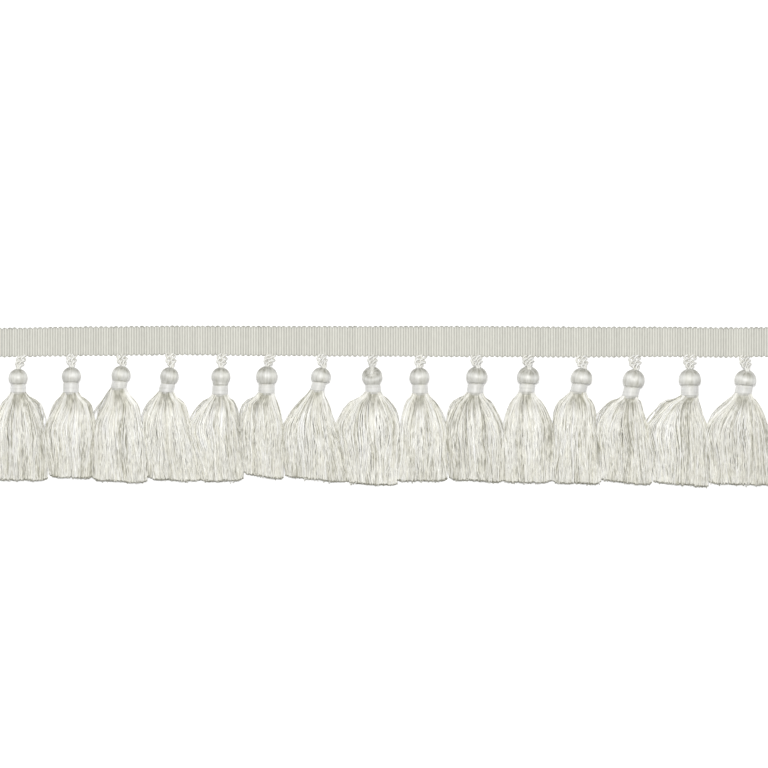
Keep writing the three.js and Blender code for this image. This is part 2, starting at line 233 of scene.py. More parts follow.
def tubes(paths, radii, sides, turn=0.0):
    """Closed tubes round many paths at once.

    paths is tubes x steps x 3 and radii tubes x steps. A point is the path's point plus the
    radius times cosine across and sine up, where across is the tangent crossed with +Z and up
    is across crossed with the tangent. The section is turned by one angle, or by one for each
    tube. Each tube ends in one face at either end.
    """
    count, steps, _ = paths.shape
    tangent = np.gradient(paths, axis=1)
    tangent /= np.linalg.norm(tangent, axis=2, keepdims=True) + TINY
    across = np.cross(tangent, UP)
    across /= np.linalg.norm(across, axis=2, keepdims=True) + TINY
    up = np.cross(across, tangent)
    angle = np.arange(sides) * 2 * math.pi / sides + np.reshape(turn, (-1, 1))
    ring = (
        np.cos(angle)[:, None, :, None] * across[:, :, None, :]
        + np.sin(angle)[:, None, :, None] * up[:, :, None, :]
    )
    points = paths[:, :, None, :] + radii[:, :, None, None] * ring
    i = np.arange(count)[:, None, None] * steps * sides
    j = np.arange(steps - 1)[None, :, None] * sides
    k = np.arange(sides)[None, None, :]
    k2 = (k + 1) % sides
    walls = np.stack([i + j + k, i + j + k2, i + j + sides + k2, i + j + sides + k], -1)
    starts = np.arange(count)[:, None] * steps * sides
    first = starts + np.arange(sides)[None, ::-1]
    last = starts + (steps - 1) * sides + np.arange(sides)
    loops = np.concatenate([walls.ravel(), first.ravel(), last.ravel()])
    sizes = np.concatenate([np.full(walls.size // 4, 4), np.full(2 * count, sides)])
    return points.reshape(-1, 3), loops, sizes


def shell(grid, caps=True):
    """A closed skin over rings of points, rings x around x 3, with a face on either end.

    With caps off, the last ring joins the first, as in a ring-shaped body.
    """
    rings, around, _ = grid.shape
    j = np.arange(rings - 1 if caps else rings)[:, None]
    k = np.arange(around)[None, :]
    a, b = j * around, ((j + 1) % rings) * around
    k2 = (k + 1) % around
    walls = np.stack([a + k, a + k2, b + k2, b + k], -1)
    loops, sizes = walls.ravel(), np.full(walls.size // 4, 4)
    if caps:
        first = np.arange(around)[::-1]
        last = (rings - 1) * around + np.arange(around)
        loops = np.concatenate([loops, first, last])
        sizes = np.concatenate([sizes, [around, around]])
    return grid.reshape(-1, 3), loops, sizes


def merged(parts):
    """Several sets of points, corners and face sizes as one."""
    offset, points, loops, sizes = 0, [], [], []
    for part_points, part_loops, part_sizes in parts:
        points.append(part_points)
        loops.append(part_loops + offset)
        sizes.append(part_sizes)
        offset += len(part_points)
    return np.concatenate(points), np.concatenate(loops), np.concatenate(sizes)


def finished(piece, material, slot, *nodes):
    """Gives a piece its material, lets it ride on the trim's body, and makes it stand for its
    solids. The slot is not used."""
    piece.data.materials.append(material)
    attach(piece, BODY)
    if nodes:
        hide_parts(*nodes)


# Materials

# The share of a shade that is mottle, for yarn and tape alike.
MOTTLE_SHARE = 0.3

# Yarn at its deepest beside the dark yarn's colour, a warmer colour that also serves for painted
# shadow, and how far up the shades the dark one is.
DEEP_TONE_AND_SHADOW = (0.5, 0.495, 0.44)
DARK_AT = 0.3

# The warm tint that yarn takes here and there.
WARM = (1.0, 0.995, 0.955)


def material_of(name):
    """A new material, its tree's nodes and links, and its Principled shader."""
    material = bpy.data.materials.new(name)
    material.use_nodes = True
    tree = material.node_tree
    return material, tree.nodes, tree.links, tree.nodes["Principled BSDF"]


def shade_value(nodes):
    """The shade that the piece's mesh keeps at each point."""
    shade = nodes.new("ShaderNodeAttribute")
    shade.attribute_name = "shade"
    return shade.outputs["Fac"]


def ramp_between(nodes, links, value, low, high):
    """A colour from low to high by a value from 0 to 1."""
    ramp = nodes.new("ShaderNodeValToRGB")
    ramp.color_ramp.elements[0].color = (*low, 1)
    ramp.color_ramp.elements[1].color = (*high, 1)
    links.new(value, ramp.inputs["Fac"])
    return ramp.outputs["Color"]


def stretched(nodes, links, value, low, high):
    """A value stretched so that low becomes 0 and high 1, kept between them."""
    spread = nodes.new("ShaderNodeMapRange")
    spread.inputs["From Min"].default_value = low
    spread.inputs["From Max"].default_value = high
    links.new(value, spread.inputs["Value"])
    return spread.outputs["Result"]


def scaled_coords(nodes, links, scale):
    """Object coordinates in metres, times a scale along each axis."""
    coords = nodes.new("ShaderNodeTexCoord")
    mapping = nodes.new("ShaderNodeMapping")
    mapping.inputs["Scale"].default_value = scale
    links.new(coords.outputs["Object"], mapping.inputs["Vector"])
    return mapping.outputs["Vector"]


def noise(nodes, links, scale, detail=2.0):
    """Soft noise from 0 to 1, with a scale for each metre along each axis."""
    vector = scaled_coords(nodes, links, scale)
    field = nodes.new("ShaderNodeTexNoise")
    field.inputs["Scale"].default_value = 1.0
    field.inputs["Detail"].default_value = detail
    links.new(vector, field.inputs["Vector"])
    return field.outputs["Fac"]


def mixed_values(nodes, links, first, second, share):
    """The mean of two values, with a share of the second."""
    mix = nodes.new("ShaderNodeMix")
    mix.data_type = "FLOAT"
    mix.inputs["Factor"].default_value = share
    links.new(first, mix.inputs["A"])
    links.new(second, mix.inputs["B"])
    return mix.outputs["Result"]


def tinted(nodes, links, colour, amount, tint):
    """A colour times a tint, as far as an amount from 0 to 1 says."""
    mix = nodes.new("ShaderNodeMix")
    mix.data_type = "RGBA"
    mix.blend_type = "MULTIPLY"
    links.new(amount, mix.inputs["Factor"])
    links.new(colour, mix.inputs["A"])
    mix.inputs["B"].default_value = (*tint, 1.0)
    return mix.outputs["Result"]


def bump_from(nodes, links, shader, height, strength, distance):
    """Raises the shader's surface by a height from 0 to 1."""
    bump = nodes.new("ShaderNodeBump")
    bump.inputs["Strength"].default_value = strength
    bump.inputs["Distance"].default_value = distance
    links.new(height, bump.inputs["Height"])
    links.new(bump.outputs["Normal"], shader.inputs["Normal"])


def yarn_material(name, dark, light, roughness, fibre_scale=(2600, 260, 2600), relief=0.00006):
    """Silky yarn: each thread's own shade, with painted light and shade in it, mottled softly
    along its length and deepest, in a warmer colour that also serves for painted shadow, where the
    shade is nought, with fine fibres raised along it and a satin gloss."""
    material, nodes, links, shader = material_of(name)
    shade = shade_value(nodes)
    mottle = stretched(nodes, links, noise(nodes, links, (800, 300, 800)), 0.3, 0.7)
    value = mixed_values(nodes, links, shade, mottle, MOTTLE_SHARE)
    deep = [share * part for share, part in zip(DEEP_TONE_AND_SHADOW, dark)]
    colour = ramp_between(nodes, links, value, deep, light)
    colour.node.color_ramp.elements.new(DARK_AT).color = (*dark, 1.0)
    warmth = stretched(nodes, links, noise(nodes, links, (330, 70, 330)), 0.35, 0.75)
    colour = tinted(nodes, links, colour, warmth, WARM)
    links.new(colour, shader.inputs["Base Color"])
    fibres = noise(nodes, links, fibre_scale, 3.0)
    bump_from(nodes, links, shader, fibres, 0.35, relief)
    shader.inputs["Roughness"].default_value = roughness
    shader.inputs["Sheen Weight"].default_value = 0.25
    shader.inputs["Sheen Roughness"].default_value = 0.4
    shader.inputs["Specular IOR Level"].default_value = 0.5
    return material


def tape_material(settings):
    """Ribbed weave: light on a rib, with painted shade in a groove and at the edges, with fine
    warp threads raised across the ribs."""
    material, nodes, links, shader = material_of("Tape_weave")
    shade = shade_value(nodes)
    mottle = noise(nodes, links, (900, 300, 900))
    value = mixed_values(nodes, links, shade, mottle, MOTTLE_SHARE)
    colour = ramp_between(nodes, links, value, settings.groove_shade_colour, settings.rib_colour)
    links.new(colour, shader.inputs["Base Color"])
    warp = nodes.new("ShaderNodeTexWave")
    warp.wave_type = "BANDS"
    warp.bands_direction = "Y"
    warp.inputs["Scale"].default_value = 1.0
    warp.inputs["Distortion"].default_value = 1.2
    warp.inputs["Detail Scale"].default_value = 1.5
    links.new(scaled_coords(nodes, links, (300, 880, 300)), warp.inputs["Vector"])
    bump_from(nodes, links, shader, warp.outputs["Fac"], 0.5, 0.00012)
    shader.inputs["Roughness"].default_value = 0.6
    shader.inputs["Sheen Weight"].default_value = 0.15
    shader.inputs["Specular IOR Level"].default_value = 0.4
    return material


# Settings


def colour_property(name, description, default):
    """A colour that a user can change."""
    return FloatVectorProperty(
        name=name, description=description, default=default, subtype="COLOR", min=0, max=1
    )


class TrimTapeSettings(bpy.types.PropertyGroup):
    """Sizes and colours of the tape."""

    length: FloatProperty(
        name="Length", description="Length of the tape", default=0.383, unit="LENGTH"
    )
    width: FloatProperty(
        name="Width", description="Least width over the scallops", default=0.0142, unit="LENGTH"
    )
    thickness: FloatProperty(
        name="Thickness", description="Thickness at a rib", default=0.0012, unit="LENGTH"
    )
    scallops: IntProperty(
        name="Scallops", description="Scallops along an edge, with two ribs each", default=154
    )
    groove: FloatProperty(
        name="Groove", description="Depth between two ribs", default=0.00038, unit="LENGTH"
    )
    rib_colour: colour_property("Rib", "Colour on a rib", (0.755, 0.75, 0.68))
    # Painted shade: the groove's colour stands for shade between the ribs.
    groove_shade_colour: colour_property("Groove", "Colour between ribs", (0.39, 0.385, 0.345))
    # Painted shade: the edge loops' colour is darkened for loops turned down from the light.
    loop_shade_colour: colour_property("Edge loops", "Colour of the edge's loops", (0.47, 0.465, 0.435))


class TrimCordSettings(bpy.types.PropertyGroup):
    """Sizes and colours of the hanging loops."""

    ply_radius: FloatProperty(
        name="Ply", description="Radius of one ply", default=0.0005, unit="LENGTH"
    )
    twist: FloatProperty(
        name="Twist", description="Length of one full turn of the plies", default=0.0052,
        unit="LENGTH",
    )
    light: colour_property("Light", "Colour of the lightest yarn", (0.80, 0.80, 0.775))
    dark: colour_property("Dark", "Colour of the darkest yarn", (0.60, 0.59, 0.54))


class TrimTasselSettings(bpy.types.PropertyGroup):
    """Sizes and colours of the tassels."""

    threads: IntProperty(
        name="Threads", description="Threads in a skirt", default=570, min=50, max=900
    )
    locks: IntProperty(
        name="Locks", description="Locks that the threads gather in", default=44, min=4, max=80
    )
    thread_radius: FloatProperty(
        name="Thread", description="Radius of a thread", default=0.00022, unit="LENGTH"
    )
    head_yarns: IntProperty(
        name="Head yarns", description="Yarns over a head", default=40, min=12, max=80
    )
    windings: IntProperty(
        name="Windings", description="Turns of thread round a neck", default=11, min=3, max=30
    )
    light: colour_property("Light", "Colour of the skirts' lightest yarn", (0.985, 0.985, 0.97))
    dark: colour_property("Dark", "Colour of the skirts' darkest yarn", (0.80, 0.788, 0.72))
    head_light: colour_property("Head", "Colour of the heads' lightest yarn", (0.79, 0.79, 0.76))
    head_dark: colour_property("Head shade", "Their darkest yarn", (0.50, 0.495, 0.455))
    binding_light: colour_property("Binding", "Colour of the binding thread", (0.80, 0.80, 0.785))
    binding_dark: colour_property("Binding shade", "Its darkest thread", (0.58, 0.576, 0.55))


class TrimStageSettings(bpy.types.PropertyGroup):
    """The table, the light and the camera."""

    floor_colour: colour_property("Table", "Colour of the table", (0.97, 0.97, 0.965))
    key: FloatProperty(
        name="Key", description="Power of the main light in watts", default=32.0, unit="POWER"
    )
    sky: FloatProperty(name="Sky", description="Strength of the light all round", default=0.22)


# Shapes of the tape


def tape_shape(settings):
    """The tape's skin, and its shade at each point.

    Along x, a rib rises as the square root of 1 less a power of u, with u from -1 to 1 over each
    rib, and each edge bows out over two ribs as a sine. Across, the section runs over the top
    from the lower edge to the upper one and back underneath, rounded at the edges as a quarter
    ellipse. Width and rise follow the tape's table.
    """
    ribs, per_rib, rib_power = 2 * settings.scallops, 6, 2.6
    length, least = settings.length / MM, settings.width / MM
    thick, groove, groove_below = settings.thickness / MM, settings.groove / MM, 0.12
    x = np.linspace(-length / 2, length / 2, ribs * per_rib + 1)
    along = (x + length / 2) / length * ribs
    rib = np.minimum(along.astype(int), ribs - 1)
    u = 2 * (along - rib) - 1
    rise = np.sqrt(np.clip(1 - np.abs(u) ** rib_power, 0, 1))
    bow = np.abs(np.sin(math.pi * along / 2))

    rng = np.random.default_rng(11)
    tone = 0.8 * rng.uniform(-1, 1, ribs)[rib]
    tall = 1 + 0.16 * rng.uniform(-1, 1, ribs)[rib]
    uneven = 0.07 * rng.uniform(-1, 1, settings.scallops + 1)[rib // 2]

    over = np.sin(np.linspace(-math.pi / 2, math.pi / 2, 13))
    under = np.sin(np.linspace(math.pi / 2, -math.pi / 2, 9))[1:-1]
    side = np.concatenate([over, under])
    is_top = np.arange(len(side)) < len(over)

    # A scallop's tip stands out past half the width, and the dip between two lies behind it.
    tip, dip, rounded = 0.1, 0.8, 0.1
    width = tape_width(x, least)
    half = width / 2 + tip - dip * (1 - bow) + uneven
    y = (tape_rise(x) + width / 2)[:, None] + half[:, None] * side[None, :]
    edge = np.clip((np.abs(side) - (1 - rounded)) / rounded, 0, 1)
    edge = np.sqrt(np.clip(1 - edge**2, 0, 1))
    middle = 0.5 * thick
    top = middle + edge * (thick - groove * (1 - rise * tall)[:, None] - middle)
    bottom = middle - edge * (middle - groove_below * (1 - rise)[:, None])
    z = np.where(is_top[None, :], top, bottom)

    # The ribs sway a little between the edges, and more in some places than in others.
    sway, sway_length = 0.09, 9.0
    slip = sway * wander(side, 5)[None, :] * wander(x / sway_length, 6)[:, None]
    points = np.stack([x[:, None] + slip * np.sin(math.pi * along)[:, None], y, z], -1)

    # Painted shade: a rib is light along its crest and shaded into its grooves, and the rounded
    # edges are painted darker as they turn from the light, the upper one most.
    crest = 1 - smooth((np.abs(u) - 0.35) / 0.45)
    lip = 0.3 + 0.9 * bow[:, None] * (side > 0)[None, :]
    shade = (0.12 + 0.72 * crest + 0.14 * tone)[:, None] - lip * (1 - edge)[None, :]
    return points[:, ::-1], shade[:, ::-1]


def edge_loops_shape(settings):
    """The weft's turns along both edges: half rings of yarn, one to a scallop.

    Each runs in x as a cosine and out in y as a sine from the tape's edge, and sinks a little on
    its way out.
    """
    count, steps, sides = settings.scallops, 8, 5
    length, least = settings.length / MM, settings.width / MM
    inset, radius, root, sink = 0.72, 0.26, 0.62, 0.16
    pitch = length / count
    centre = -length / 2 + pitch * (np.arange(count) + 0.5)
    width = tape_width(centre, least)
    rng = np.random.default_rng(17)
    angle = np.linspace(0, math.pi, steps)
    paths = []
    for side in (-1, 1):
        reach = 0.62 + 0.12 * rng.uniform(-1, 1, count)
        shift = 0.12 * rng.uniform(-1, 1, count)
        x = (centre + shift)[:, None] + 0.36 * pitch * np.cos(angle)[None, :]
        base = tape_rise(centre) + width / 2 + side * (width / 2 - inset)
        y = base[:, None] + side * reach[:, None] * np.sin(angle)[None, :]
        z = root - sink * np.sin(angle)[None, :] + 0.05 * rng.uniform(-1, 1, (count, 1))
        paths.append(np.stack([x, y, z], -1))
    paths = np.concatenate(paths)
    radii = radius * np.ones(paths.shape[:2])

    # Painted shade: the loops are darkened where they turn down from the light, along the upper
    # edge most.
    is_upper = np.arange(len(paths)) >= count
    shades = rng.uniform(0, 0.5, len(paths)) - 0.45 * is_upper
    return tubes(paths, radii, sides), np.repeat(shades, steps * sides)


# Shapes of the loops, heads and bindings


def bezier(p0, p1, p2, p3, t):
    """A cubic curve from p0 to p3 at each t."""
    t = t[:, None]
    return (1 - t) ** 3 * p0 + 3 * (1 - t) ** 2 * t * p1 + 3 * (1 - t) * t**2 * p2 + t**3 * p3


def head_middle(row, sink=0.0):
    """The middle of a head at rest on a small flat, or a point that lies lower by a sink."""
    height = row["head"] * math.cos(math.pi / FACETS)
    return np.array([row["at"], -row["down"], height - sink])


def head_axes(row, nod=0.0):
    """Unit vectors along the head towards the skirt, across it and up from it."""
    lean, nod = math.radians(row["lean"]), math.radians(nod)
    along = np.array([math.sin(lean), -math.cos(lean), 0.0])
    across = np.array([math.cos(lean), math.sin(lean), 0.0])
    turned = along * math.cos(nod) - UP * math.sin(nod)
    return turned, across, UP * math.cos(nod) + along * math.sin(nod)


def collar_across(row):
    """The unit vector across the binding, whose turns stay nearly level where the neck leans."""
    tilt = BINDING_TILT * math.radians(row["lean"])
    return np.array([math.cos(tilt), math.sin(tilt), 0.0])


def hanger_shape(row, number, settings):
    """A loop's two legs, each of two plies, that fill its width as an open lattice.

    The loop's middle follows a cubic curve from under the tape's edge to the top of the head. A
    leg runs beside it, and a ply circles its leg once for each twist length, half a turn from the
    other ply and between the loop's middle and its side. The loop is as wide as its row says
    under the tape and narrows over the lower half of its fall, with a soft start and end.
    """
    rng = np.random.default_rng(100 + number)
    steps, sides = 36, 8
    ply = settings.ply_radius / MM
    along, _, up = head_axes(row, row["nod"])
    pole = head_middle(row) - along * (POLE * row["head"])
    t = np.linspace(0, 1, steps)
    under_tape, height, leaving = 0.9, 0.95, (0, -2.6, 0.6)
    edge = tape_rise(np.array(row["cord_at"]))
    start = np.array([row["cord_at"], edge + under_tape, height])
    arriving = pole - along * 2.0 + up * 0.2
    middle = bezier(start, start + leaving, arriving, pole, t)
    tangent = np.gradient(middle, axis=0)
    tangent /= np.linalg.norm(tangent, axis=1, keepdims=True)
    out = np.cross(tangent, UP)
    out /= -np.linalg.norm(out, axis=1, keepdims=True)
    over = np.cross(tangent, out)
    travelled = np.append(0, np.cumsum(np.linalg.norm(np.diff(middle, axis=0), axis=1)))
    phase = 2 * math.pi * travelled * MM / settings.twist

    fallen = (start[1] - middle[:, 1]) / (start[1] + row["down"] - POLE * row["head"])
    full, throat = 0.5 * row["spread"] + 1.2, 0.25 * row["spread"] + 0.3
    reach = full - 0.25 * (1 - smooth(t / 0.3)) - (full - throat) * smooth((fallen - 0.5) / 0.5)
    swing = np.maximum(0.57 * reach - 0.9 * ply, 0.15)
    depth = 0.6
    plies, shades = [], []
    for side in (-1, 1):
        leg = middle + side * out * (reach - swing - ply)[:, None]
        first = rng.uniform(0, 2 * math.pi)
        for half in (0, math.pi):
            turn = phase + first + half
            ring = np.cos(turn)[:, None] * out + depth * np.sin(turn)[:, None] * over
            plies.append(leg + ring * swing[:, None])
            # Painted light and shade: a ply is lighter at the top of its turn and darker where it
            # passes underneath.
            shades.append(0.55 + 0.25 * rng.random() + 0.35 * np.sin(turn))
    paths = np.stack(plies)
    radii = np.repeat((ply * (1 - 0.2 * t))[None, :], len(plies), 0)
    paths[:, :, 2] = np.maximum(paths[:, :, 2], radii + 0.02)
    return tubes(paths, radii, sides), np.repeat(np.stack(shades).ravel(), sides)


def ball_radius(row, s):
    """The head's radius at s along it: a ball's, below its middle never slimmer than the binding,
    and drawn in to the neck just above the binding."""
    r, neck = row["head"], row["collar"] - 0.45
    ball = r * np.sqrt(np.clip(1 - (s / r) ** 2, 0, 1))
    ball = np.where(s > 0, np.maximum(ball, row["collar"] - 0.1), ball)
    drawn = smooth((s - row["collar_start"] + 0.7) / 0.6)
    return ball * (1 - drawn) + neck * drawn


def head_shape(row, number, settings):
    """A head and neck covered with yarns from pole to neck.

    The radius at s and turn is the ball's less a furrow between each two yarns, whose ridges are
    a power of the size of a cosine and fade towards the pole. The pole dips in where the loop
    enters. A ring is turned back by the nod, less the further it is from the pole, and not at
    all at the neck, where the rings turn level with the binding's.
    """
    yarns, per_yarn = settings.head_yarns, 3
    turn = np.arange(yarns * per_yarn) * 2 * math.pi / (yarns * per_yarn)
    rng = np.random.default_rng(300 + number)
    r, start, end = row["head"], row["collar_start"], row["collar_end"]
    top, ball_end = -0.97 * r, start - 0.75
    eased = 0.5 - 0.5 * np.cos(np.linspace(0, math.pi, 18))
    ball = top + (ball_end - top) * eased
    neck = np.concatenate([np.linspace(start - 0.55, start - 0.05, 4), [end, end + 1.0]])
    s = np.concatenate([ball, neck])
    base = ball_radius(row, s)
    dip_s = np.array([top + 1.3, top + 0.6, top + 0.12])
    dip_radius = np.array([0.35, 0.6, 0.95])
    s, base = np.concatenate([dip_s, s]), np.concatenate([dip_radius, base])

    slant = 0.06 * rng.uniform(-1, 1)
    warped = turn[None, :] + 0.05 * wander(turn / (2 * math.pi), 320 + number)[None, :]
    ridge = np.abs(np.cos(yarns * warped / 2 + slant * s[:, None])) ** 0.7
    fade = np.clip(base / r, 0, 1)[:, None] ** 1.2
    furrow = (0.17 + 0.05 * wander(turn * 3.1, 340 + number))[None, :]
    radius = base[:, None] - furrow * fade * (1 - ridge)
    radius += 0.05 * fade * wander(turn * 1.7, 350 + number)[None, :]

    along, across, up = head_axes(row)
    polar = np.arccos(np.clip(-s / r, -1, 1))
    unturned = polar[-len(neck)]
    back = math.radians(row["nod"]) * np.clip(1 - polar / unturned, 0, 1)[:, None, None]
    turned = np.cos(back) * along - np.sin(back) * up
    raised = np.cos(back) * up + np.sin(back) * along
    cos, sin = np.cos(turn)[None, :, None], np.sin(turn)[None, :, None]
    level = smooth(s - start + 1.2)[:, None, None]
    sideways = (1 - level) * across + level * collar_across(row)
    points = head_middle(row) + s[:, None, None] * turned
    points = points + radius[:, :, None] * (cos * sideways + sin * raised)
    points[:, :, 2] -= NECK_SINK * smooth((s - start + 0.8) / 0.6)[:, None]
    points[:, :, 2] = np.maximum(points[:, :, 2], 0.02)

    # Each yarn has its tone. Painted light: a highlight band above the middle, and flanks painted
    # lighter. Painted shade darkens the pole and the furrows between yarns.
    tone = np.repeat(rng.uniform(0, 1, yarns), per_yarn)
    tone = np.roll(tone, per_yarn // 2)[None, :]
    lit = np.exp(-(((s + 1.0) / 1.4) ** 2))[:, None]
    pole = np.exp(-(((s + 0.72 * r) / 1.3) ** 2))[:, None]
    flank = np.cos(turn)[None, :] ** 2 * smooth((s + 3) / 2.5)[:, None]
    shade = 0.3 + 0.5 * lit - 0.24 * pole + 0.45 * flank + 0.35 * (tone - 0.5)
    shade = shade + 0.3 * (ridge - 0.6)
    return shell(points[:, ::-1]), shade[:, ::-1]


def binding_shape(row, number, settings):
    """The wound thread: a ring whose outside swells at each turn and whose inside is plain.

    The outside radius is the binding's less a furrow between each two windings, whose ridges are
    a power of the size of a sine, slanted by one winding round the neck. Both rims are rounded as
    a square root.
    """
    rng = np.random.default_rng(400 + number)
    turns, around, groups = settings.windings, 40, 5
    furrow, rim, thick = 0.07, 0.3, 0.5
    start, end = row["collar_start"], row["collar_end"]
    s = np.linspace(start, end, turns * 4 + 1)
    turn = np.arange(around) * 2 * math.pi / around
    share = (s - start) / (end - start)
    phase = math.pi * turns * share[:, None] + turn[None, :] / 2
    ridge = np.abs(np.sin(phase)) ** 0.7
    ends = np.sqrt(np.clip(np.minimum(share, 1 - share) / 0.07, 0, 1))
    radius = (row["collar"] - rim * (1 - ends))[:, None] - furrow * (1 - ridge)
    radius += 0.03 * wander(turn, 410 + number)[None, :]
    inside = np.linspace(end, start, 3)
    all_s = np.concatenate([s, inside])
    all_radii = np.concatenate([radius, np.full((len(inside), around), row["collar"] - thick)])
    along, _, up = head_axes(row)
    cos, sin = np.cos(turn)[None, :, None], np.sin(turn)[None, :, None]
    wobble = 0.08 * wander(turn, 420 + number)[None, :, None]
    points = head_middle(row, NECK_SINK) + (all_s[:, None, None] + wobble) * along
    points = points + all_radii[:, :, None] * (cos * collar_across(row) + sin * up)

    # Each winding has its tone and each few windings have theirs. Painted light makes the flanks
    # lighter, and painted shade darkens the furrows between windings.
    tone = rng.uniform(0, 1, turns + 1)[np.minimum((share * turns).astype(int), turns)]
    band = rng.uniform(0, 1, groups + 1)[np.minimum((share * groups).astype(int), groups)]
    shade = 0.05 + 0.15 * tone[:, None] + 0.3 * band[:, None] + 0.25 * ridge
    shade = shade + 0.75 * np.cos(turn)[None, :] ** 2
    shade = np.concatenate([shade, np.zeros((len(inside), around))])
    return shell(points[:, ::-1], caps=False), shade[:, ::-1]


# Shapes of the skirts


def skirt_levels(row):
    """Places along the skirt, from inside its binding to the hem.

    Each row is: share of the way, left, right, low, high, squareness, and y at left and right.
    The shoulders are drawn in behind the threads that bow out there, and the waist, between
    belly and hem, is a little fuller than midway between the two.
    """
    lean = math.radians(row["lean"])
    middle, end = head_middle(row, NECK_SINK), row["collar_end"]
    behind, fuller = 0.5, 0.3

    def neck_level(share, s, radius):
        """A round level at s along the neck, tilted as the binding is."""
        x, y = s * math.sin(lean), middle[1] - s * math.cos(lean)
        tilt = radius * collar_across(row)[1]
        low, high = middle[2] - radius, middle[2] + radius
        return (share, x - radius, x + radius, low, high, 2.0, y - tilt, y + tilt)

    left = row["shoulder_left"] - behind * row["bow_left"]
    right = row["shoulder_right"] - behind * row["bow_right"]
    waist_y = 0.5 * (BELLY_Y - 0.5 * (row["end_left"] + row["end_right"]))
    waist_left = 0.5 * (row["belly_left"] + row["hem_left"]) + fuller
    waist_right = 0.5 * (row["belly_right"] + row["hem_right"]) + fuller
    return np.array(
        [
            neck_level(0.0, end - 1.2, row["collar"] - 0.6),
            neck_level(0.035, end + 0.5, row["collar"] - 0.1),
            (0.13, -left, right, 0.5, 7.1, 2.2, SHOULDER_Y, SHOULDER_Y),
            (0.36, -row["belly_left"], row["belly_right"], 0.05, 7.6, 2.6, BELLY_Y, BELLY_Y),
            (0.68, -waist_left, waist_right, 0.05, 6.4, 2.7, waist_y, waist_y),
            (1.0, -row["hem_left"], row["hem_right"], 0.05, 4.6, 2.6, -row["end_left"],
             -row["end_right"]),
        ]
    )


def level_curves(levels, t):
    """The columns of the skirt's levels after the first as smooth curves at each t: cubic between
    the rows, with the slope at a row taken from its neighbours."""
    knots, values = levels[:, 0], levels[:, 1:]
    slopes = np.gradient(values, knots, axis=0)
    k = np.clip(np.searchsorted(knots, t, side="right") - 1, 0, len(knots) - 2)
    gap = (knots[k + 1] - knots[k])[..., None]
    u = ((t - knots[k]) / (knots[k + 1] - knots[k]))[..., None]
    h00, h10 = 2 * u**3 - 3 * u**2 + 1, u**3 - 2 * u**2 + u
    h01, h11 = -2 * u**3 + 3 * u**2, u**3 - u**2
    curves = (
        h00 * values[k] + h10 * gap * slopes[k] + h01 * values[k + 1] + h11 * gap * slopes[k + 1]
    )
    return np.moveaxis(curves, -1, 0)


# Steps that scatter points evenly over a square.
SPIN_STEP = 0.7548776662
DEPTH_STEP = 0.5698402910


class ThreadDraws:
    """Seeded numbers for a skirt's threads, one for each thread or one for each lock."""

    def __init__(self, seed, count, locks):
        """Scatters the threads evenly round a disc, most near its rim, in two layers of locks."""
        outer_from, crowding = 0.55, 0.34
        self.rng = np.random.default_rng(seed)
        self.count, self.locks = count, locks
        spin = (np.arange(count) * SPIN_STEP + self.rng.random()) % 1
        depth = (np.arange(count) * DEPTH_STEP + self.rng.random()) % 1
        own = (spin * locks / 2).astype(int) * 2 + (depth > outer_from)
        self.lock = own % locks
        self.angle = (2 * math.pi * spin)[:, None]
        self.out = (depth**crowding)[:, None]

    def per_lock(self, low, high):
        """A number from low to high that the threads of a lock share."""
        return self.rng.uniform(low, high, self.locks)[self.lock][:, None]

    def per_thread(self, low, high):
        """A number from low to high of each thread's own."""
        return self.rng.uniform(low, high, (self.count, 1))


def thread_shades(draws, number, t, a, b):
    """The shade of each thread at each step, from its place a across the skirt and b up in it.

    A thread's tone and its lock's are added, and spread most near the root. It is darker low
    down. Painted shade darkens it in the hollow under the binding and on the underside; along the
    sides a thread is by chance left light or sunk into painted shade between its neighbours; and a
    painted shadow makes it darkest at its cut end.
    """
    tone = 0.7 * draws.per_thread(0, 1) + 0.3 * draws.per_lock(0, 1)
    shades = tone + 0.2 * wander(0.6 * a + 0.4 * t, 530 + number)
    shades = 0.55 + (shades - 0.55) * (1.4 - 0.4 * smooth((t - 0.55) / 0.3))
    shades = shades - 0.12 * smooth((t - 0.6) / 0.2)
    # Painted shade in the hollow under the binding, and on the underside.
    hollow = (1 - smooth((t - 0.1) / 0.18)) * (1 - smooth((np.abs(a) - 0.35) / 0.4))
    shades = shades * (1 - 0.85 * hollow) - 0.12 * hollow
    shades = shades * (1 - 0.8 * smooth((0.1 - b) / 0.6))
    # Painted shade along the sides, where by chance a thread is left light or falls into shade.
    side = smooth((np.abs(a) - 0.64) / 0.22) * smooth((t - 0.15) / 0.2)
    gap_shades = np.where(draws.per_thread(0, 1) < 0.6, -0.1, 0.8)
    shades += 0.7 * (gap_shades - shades) * side * (1 - smooth((t - 0.65) / 0.25))
    # Painted shadow at each thread's cut end.
    shades[:, -1] = -0.8
    return shades


